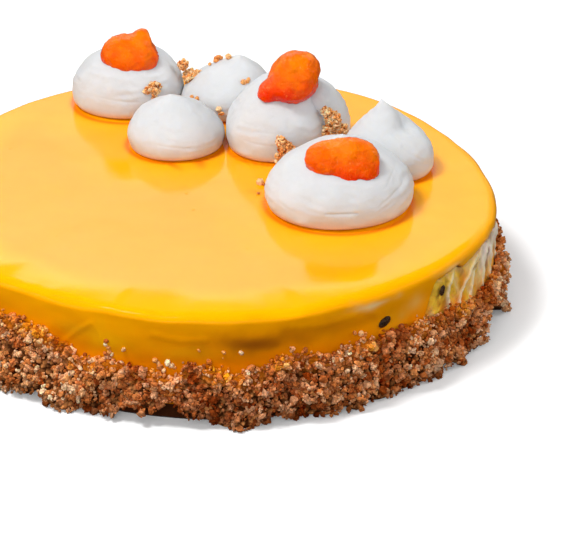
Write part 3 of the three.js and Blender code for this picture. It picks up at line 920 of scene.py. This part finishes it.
def band_grains(count, smallest, biggest, seed, above):
    """Centres, sizes and colours of crumbs pressed into the band's face at random angles and heights,
    the share `above` of them strewn over its crest. They are darker and browner along parts of the
    band, painted darker deep in it and at its foot as painted shade, and stained by the glaze near
    the crest."""
    draw = np.random.default_rng(seed)
    angle = draw.uniform(-np.pi, np.pi, count)
    sizes = draw.uniform(smallest, biggest, count)
    up = draw.uniform(0, 1, count) ** 0.92
    over = draw.uniform(0, 1, count) < above
    low, high = FLOOR_GAP + foot_gap(angle), crest(angle)
    height = low + up * (high - low)
    height = np.where(over, high + draw.exponential(0.7, count), np.maximum(height, sizes * 0.9))
    share = np.clip(height / high, 0, 1)
    proud = draw.uniform(-0.6, 0.9, count)
    radius = band_face(angle, share) + sizes * proud - 0.6
    on_top = rim_radius(angle) + GAP + draw.uniform(0.1, 1, count) * BAND_CREST
    radius = np.where(height > high - 1, np.maximum(on_top, rim_radius(angle) + 0.75 * sizes), radius)
    darkening = (along(BAND_DARKENING, angle) * (1 - 0.7 * smooth_step(height - high, -5, -1)))[:, None]
    colours = crumb_colours(draw, count) * (1 - darkening + darkening * np.array(BAND_DARKEST_TINT))
    # crumbs set deeper into the face are painted darker: painted shade
    colours = colours * blend_colours(RECESS_PAINTED_SHADE, (1, 1, 1), smooth_step(proud, -0.7, 0.4))
    wet = smooth_step(noise(round_point(angle, CAKE_RADIUS, height), 5.5, seed % 100 + 7), -0.35, 0.45)
    stained = smooth_step(height - high, -7, -1) * wet * draw.uniform(0, 1, count) ** 0.8
    colours = blend_colours(colours, CRUMB_ORANGE, np.where(proud > 0.75, 0.2 * stained, stained))
    # darker towards the foot: painted shade under the band
    colours = colours * (0.58 + 0.42 * smooth_step(height, 0, 8))[:, None]
    # crumbs in the hollows between clusters are painted darker: painted shade
    colours = colours * blend_colours(RECESS_PAINTED_SHADE, (1, 1, 1), smooth_step(clusters(angle, share), -2.1, 0.6))
    return round_point(angle, radius, height), sizes, colours


def granules_on(places, sizes, colours, count, seed):
    """Centres, sizes and colours of granules stuck to bigger crumbs: each on the skin of a crumb
    drawn at random, in a direction that leans outwards, and in nearly its colour."""
    draw = np.random.default_rng(seed)
    host = draw.integers(0, len(places), count)
    way = unit(draw.normal(0, 1, (count, 3)) + 0.8 * unit(places[host] * [1, 1, 0]))
    small = draw.uniform(0.3, 0.75, count)
    centres = places[host] + way * (0.85 * sizes[host] + 0.25 * small)[:, None]
    return centres, small, colours[host] * draw.uniform(0.75, 1.35, (count, 1))


def strew(name, centres, sizes, colours, shape, seed):
    """One piece of all these crumbs, those at the foot held above the floor."""
    points, triangles, shaded = grains(centres, sizes, colours, shape, seed)
    points[:, 2] = np.maximum(points[:, 2], 0.05)
    add_piece(name, points, triangles, crumb_finish, colours=shaded, smooth=False)


def make_clump(index, clump):
    """Balls with small dark cores, hidden in crumbs of many sizes that are strewn at random
    through the outer part of each ball."""
    draw = np.random.default_rng(300 + index)
    lobes = np.array(clump["lobes"])
    middles = np.stack([lobes[:, 0], 0.3 * lobes[:, 0], lobes[:, 1]], 1)
    middles = middles + clump["place"] + ON_TOP
    core, core_faces = ball(2)
    cores = (core * CLUMP_CORE * lobes[:, 2, None, None] + middles[:, None]).reshape(-1, 3)
    faces = (core_faces + np.arange(len(lobes))[:, None, None] * len(core)).reshape(-1, 3)
    which = np.repeat(np.arange(len(lobes)), (CLUMP_FILL * lobes[:, 2] ** 2).astype(int))
    way = unit(draw.normal(0, 1, (len(which), 3)))
    reach = lobes[which, 2, None] * draw.uniform(0.35, 1.05, (len(which), 1)) ** 0.5
    sizes = 0.3 + 0.6 * draw.uniform(0, 1, len(which)) ** 2
    colours = crumb_colours(draw, len(which)) * CLUMP_TINT
    centres = middles[which] + way * reach * [1, CLUMP_DEPTH, 1]
    points, triangles, shaded = grains(centres, sizes, colours, CHIP, 320 + index)
    points = np.concatenate([cores, points])
    triangles = np.concatenate([faces, triangles + len(cores)])
    # the cores take the dark crumb colour: painted shade inside the clump
    colours = np.concatenate([np.tile(CRUMB_DARK, (len(cores), 1)), shaded])
    stands_for = [f"crumb_clump_{index}"]
    add_piece(f"clump_{index}", points, triangles, crumb_finish, stands_for, colours, False)


# Single crumbs: [x, y, height above the glaze, size] on top, [degrees, height, size] on the side
TOP_CRUMBS = [
    (2, 82, 20.2, 1.25), (3.1, 81.6, 20.7, 1.3), (1.6, 81.3, 19.3, 1), (6.7, 78.9, 22.2, 1.45),
    (-1.1, 80.3, 18.3, 0.8), (13.1, 66.5, 15.7, 1.2), (14.9, 67.9, 16.1, 1.15), (-8.2, 66.7, 9.3, 1.1),
    (-6, 64.5, 9.1, 1.3), (3, 59.4, 6.9, 1.15), (4, 58.9, 5.2, 1.1), (20.3, 1.1, 0.9, 1.3),
    (21.6, 0.2, 0.6, 0.8), (19.7, -8.2, 0.4, 0.6), (74.6, -7.4, 12.6, 0.7), (26.9, 16.9, 2.7, 1.1),
]
SIDE_CRUMBS = [
    (-108.3, 29.2, 0.8), (-108.5, 27.6, 0.65), (-107.9, 26.6, 0.85), (-107.7, 24.9, 0.8), (-107.2, 24, 0.6),
    (-104.8, 26.8, 0.85), (-112.9, 21.9, 0.8), (-112, 20.6, 0.9), (-98.6, 24.1, 1), (-98, 23, 0.8),
    (-97.6, 21.6, 1.2), (-97, 20.4, 1.1), (-96.2, 23.7, 1.15), (-95.5, 22.6, 1.1), (-94.9, 21.8, 0.8),
    (-98.3, 18.4, 1.1), (-98.9, 17, 1), (-91.4, 21.6, 0.9), (-90.1, 22, 1.1), (-89.4, 20.6, 1.3),
    (-90.3, 29.2, 0.55), (-85.7, 28.5, 0.8), (-82.5, 28.2, 0.8), (-70.4, 26.6, 0.9), (-59, 28.4, 1.1),
    (-60.3, 29.3, 0.8), (-58.2, 27.2, 0.9),
]


def make_loose_crumbs():
    top = np.array(TOP_CRUMBS)
    side = np.array(SIDE_CRUMBS)
    on_top = top[:, :3] + ON_TOP
    angle = np.radians(side[:, 0])
    on_side = round_point(angle, rim_radius(angle) + 0.5 * side[:, 2], side[:, 1])
    sizes = np.concatenate([top[:, 3], side[:, 2]])
    draw = np.random.default_rng(401)
    colours = crumb_colours(draw, len(sizes)) * CLUMP_TINT
    points, triangles, shaded = grains(np.concatenate([on_top, on_side]), sizes, colours, ball(2), 402, 0.16)
    add_piece("loose_crumbs", points, triangles, crumb_finish, colours=shaded)


# ---- cream and fruit ----

# Colours of the cream and of its foot, the foot's warm tint painted bounce light from the glaze,
# and points round a dollop and up its crown
CREAM_WHITE = (0.585, 0.595, 0.605)
CREAM_PAINTED_BOUNCE = (0.8, 0.5, 0.25)
DOLLOP_AROUND = 210
DOLLOP_ROWS = 96


def dollop_rings(dollop):
    """Piped dollop: a foot of nine tenths of the radius swelling to a belly, then a crown of
    radius*cos(t)**point and height sin(t), slightly oval, its tip leaning with the square of height."""
    angle = np.linspace(0, FULL_TURN, DOLLOP_AROUND, endpoint=False)
    radius, high, point = dollop["radius"], dollop["height"], dollop["point"]
    belly = BELLY_SHARE * high
    up = np.linspace(0, 1, 16)
    side = np.stack([radius * (FOOT_SHARE + (1 - FOOT_SHARE) * np.sqrt(1 - (1 - up) ** 2)), up * belly], 1)
    turn = np.linspace(0, np.pi / 2, DOLLOP_ROWS)[1:]
    crown = np.stack([radius * np.cos(turn) ** point, belly + (high - belly) * np.sin(turn)], 1)
    profile = np.concatenate([[(0, 0), (0.5 * radius, 0)], side, crown])
    uneven = 1 + DOLLOP_UNEVEN * (np.sin(2 * angle + dollop["x"]) + np.sin(3 * angle + dollop["y"]) / 2)
    out, level = profile[:, :1], profile[:, 1:]
    rise = (level / high) ** 2
    x = out * np.cos(angle) * uneven + dollop["lean"][0] * rise + dollop["x"]
    y = out * np.sin(angle) * uneven * dollop["depth"] + dollop["lean"][1] * rise + dollop["y"]
    return np.stack(np.broadcast_arrays(x, y, level + CAKE_HEIGHT + GAP), -1)


def make_dollop(index, dollop):
    """The dollop, its skin moved by soft lumps, by faint level ridges left by the nozzle, and by
    its dents and creases, each a bell of the distance from its middle or line."""
    points, triangles = closed_surface(dollop_rings(dollop))
    axis = np.array([dollop["x"], dollop["y"], CAKE_HEIGHT + 0.3 * dollop["height"]])
    away = points - axis
    away /= np.maximum(np.linalg.norm(away, axis=1, keepdims=True), 1e-6)
    level = points[:, 2] - CAKE_HEIGHT
    skin = smooth_step(level, 0.5, 3)
    soft = 0.5 * layered(points, 9, 500 + index, 2)
    wander = level + 2.2 * noise(points, 11, 520 + index)
    ridge = 0.1 * np.sin(wander * 1.9) * smooth_step(noise(points, 7, 530 + index), 0.0, 0.6)
    out = soft + ridge + 0.1 * layered(points, 2.4, 540 + index, 2)
    for number, place, reach, depth in DENTS:
        if number == index:
            out = out - depth * bell(np.linalg.norm(points - place - ON_TOP, axis=1) / reach)
    front = points[:, 1] < dollop["y"]
    for number, start, end, depth in CREASES:
        if number == index:
            away_from = distance_to_line(np.stack([points[:, 0], level], 1), np.array([start, end]))
            out = out - depth * front * bell(away_from / CREASE_WIDTH)
    moved = points + away * (skin * out)[:, None]
    # warm at the foot: painted bounce light from the glaze
    colours = blend_colours(CREAM_PAINTED_BOUNCE, CREAM_WHITE, smooth_step(level, -0.5, 4.5) ** 0.7)
    add_piece(f"cream_{index}", moved, triangles, cream_finish, [f"cream_dollop_{index}"], colours)


FRUIT_DEEP = (0.74, 0.018, 0)
FRUIT_BRIGHT = (0.84, 0.185, 0)


def make_fruit(index, fruit):
    """A blunt chunk: each direction reaches (sum |d/half|**2.5)**(-1/2.5) plus its lumps, then
    noise for the torn flesh, tipped back to look up and forward."""
    direction, triangles = ball(5)
    blunt = np.sum(np.abs(direction / np.array(fruit["half"])) ** FRUIT_SQUARENESS, 1)
    reach = blunt ** (-1 / FRUIT_SQUARENESS)
    for round_turn, forward, height, sharpness in fruit["lumps"]:
        forward = np.radians(forward)
        towards = round_point(np.radians(round_turn), np.cos(forward), np.sin(forward))
        reach = reach + height * np.exp(sharpness * (direction @ towards - 1))
    shape = direction * reach[:, None]
    reach = reach + 0.75 * layered(shape, 6, 600 + index) - 0.35 * np.abs(layered(shape, 3.4, 610 + index))
    x, y, z = (direction * reach[:, None]).T
    y, z = turned(y, z, np.pi / 2 - np.radians(FRUIT_TILT))
    points = np.stack([x, y, z], 1) + np.array(fruit["place"]) + ON_TOP
    # brighter towards the top, painted light, plus a random tone from noise
    top_light_and_tone = smooth_step(z, -6, 8) * 0.7 + 0.3 * smooth_step(layered(points, 5, 620 + index), -0.5, 0.6)
    add_piece(f"fruit_{index}", points, triangles, fruit_finish, [f"fruit_piece_{index}"],
              blend_colours(FRUIT_DEEP, FRUIT_BRIGHT, top_light_and_tone))


# ---- studio ----

FLOOR_HALF = 12.0

# Brightness of the tent of light, (direction, level) from -1 to 1 along Z and X, and how much
# brighter it is towards the back
SKY_BRIGHTEST = 3.0
SKY_UP = [
    (-1, 0.08), (0, 0.12), (0.02, 0.5), (0.29, 0.6), (0.32, 0.9), (0.4, 1.4), (0.46, 2.6), (0.54, 2.4),
    (0.56, 0.2), (1, 0.16),
]
SKY_ACROSS = [
    (-1, 1.8), (-0.3, 2.2), (-0.16, 3), (-0.1, 3), (-0.02, 2.6), (0.09, 1.7), (0.3, 1.7), (0.42, 1.3),
    (0.6, 0.9), (1, 0.7),
]
SKY_BACK = 0.45

# Square softboxes in metres: name, place, point faced, size, power, whether the gloss shows them
SOFTBOXES = [
    ("overhead_softbox", (-0.42, -0.16, 1), (0, 0, 0.03), 0.34, 8, False),
    ("spark_softbox", (-0.4, -0.16, 1), (0, 0, 0.03), 0.15, 1.6, True),
    ("front_softbox", (-0.15, -1.3, 0.7), (0, 0, 0.03), 1, 11, False),
    ("side_softbox", (1.1, 0.1, 0.6), (0, 0, 0.05), 0.8, 7, False),
]

CAMERA_PLACE = (0.03111, -0.98475, 0.49608)
CAMERA_DOWN = 26.4623
CAMERA_LENS = 173.45
CAMERA_SENSOR = 36
CAMERA_NEAR = 0.01


def make_floor():
    """A wide, pale floor under the cake."""
    corners = [(x * FLOOR_HALF, y * FLOOR_HALF, 0) for x, y in ((-1, -1), (1, -1), (1, 1), (-1, 1))]
    mesh = bpy.data.meshes.new("studio_floor")
    mesh.from_pydata(corners, [], [(0, 1, 2, 3)])
    finish = Finish("floor_finish", Roughness=0.9, Emission_Strength=0.12, Emission_Color=(1, 1, 1, 1))
    finish.colour(finish.shades(finish.grain(60), (0.3, 0.88), (0.7, 0.9)))
    mesh.materials.append(finish.material)
    floor = bpy.data.objects.new("studio_floor", mesh)
    bpy.context.scene.collection.objects.link(floor)
    floor.visible_diffuse = False
    floor.visible_glossy = False


def make_sky():
    """Soft tent of light: a bright belt low round the cake, dimmer above and to the right, dark
    below the floor. Its strength is the level across times one that rises evenly to the back."""
    world = bpy.data.worlds.new("studio_tent")
    bpy.context.scene.world = world
    world.use_nodes = True
    nodes = Nodes(world.node_tree)
    background = nodes.tree.nodes["Background"]
    way = nodes.node("SeparateXYZ", Vector=nodes.node("TexCoord").outputs["Generated"]).outputs

    def levels(axis, steps):
        """Grey levels from 0 to SKY_BRIGHTEST along one axis."""
        along_axis = nodes.node("MapRange", Value=way[axis], From_Min=-1).outputs["Result"]
        return nodes.ramp(along_axis, [((at + 1) / 2, (level / SKY_BRIGHTEST,) * 3) for at, level in steps])

    nodes.join(levels("Z", SKY_UP), background.inputs["Color"])
    slope = nodes.reckon("MULTIPLY_ADD", way["Y"], SKY_BACK * SKY_BRIGHTEST, SKY_BRIGHTEST)
    nodes.join(nodes.reckon("MULTIPLY", levels("X", SKY_ACROSS), slope), background.inputs["Strength"])


def add_softbox(name, place, aim, size, power, glossy):
    """A square area light at a place, looking at a point."""
    light = bpy.data.lights.new(name, "AREA")
    light.size = size
    light.energy = power
    lamp = bpy.data.objects.new(name, light)
    bpy.context.scene.collection.objects.link(lamp)
    x, y, z = np.array(aim) - np.array(place)
    lamp.location = place
    lamp.rotation_euler = (np.arctan2(np.hypot(x, y), -z), 0, np.arctan2(y, x) - np.pi / 2)
    lamp.visible_glossy = glossy


def make_camera():
    """The photograph's viewing angle: level across, looking down by CAMERA_DOWN degrees."""
    data = bpy.data.cameras.new("camera")
    data.sensor_width = CAMERA_SENSOR
    data.lens = CAMERA_LENS
    data.clip_start = CAMERA_NEAR
    camera = bpy.data.objects.new("camera", data)
    camera.location = CAMERA_PLACE
    camera.rotation_euler = (np.radians(90 - CAMERA_DOWN), 0, 0)
    bpy.context.scene.collection.objects.link(camera)
    bpy.context.scene.camera = camera


make_glaze()
make_mousse()
make_seed("skirt_seed", SKIRT_SEED)
make_seed("mousse_seed", MOUSSE_SEED)
make_band_core()
coarse_crumbs = band_grains(3500, smallest=0.8, biggest=1.5, seed=101, above=0.05)
fine_crumbs = band_grains(8000, smallest=0.4, biggest=0.85, seed=201, above=0.12)
strew("coarse_crumbs", *coarse_crumbs, CHIP, seed=102)
strew("crumb_granules", *granules_on(*coarse_crumbs, count=9000, seed=151), PEBBLE, seed=152)
strew("fine_crumbs", *fine_crumbs, PEBBLE, seed=202)
for number, piece in enumerate(DOLLOPS, 1):
    make_dollop(number, piece)
for number, piece in enumerate(FRUITS, 1):
    make_fruit(number, piece)
for number, piece in enumerate(CLUMPS, 1):
    make_clump(number, piece)
make_loose_crumbs()

make_floor()
make_sky()
for softbox in SOFTBOXES:
    add_softbox(*softbox)
make_camera()
bpy.context.scene.view_settings.view_transform = "Standard"
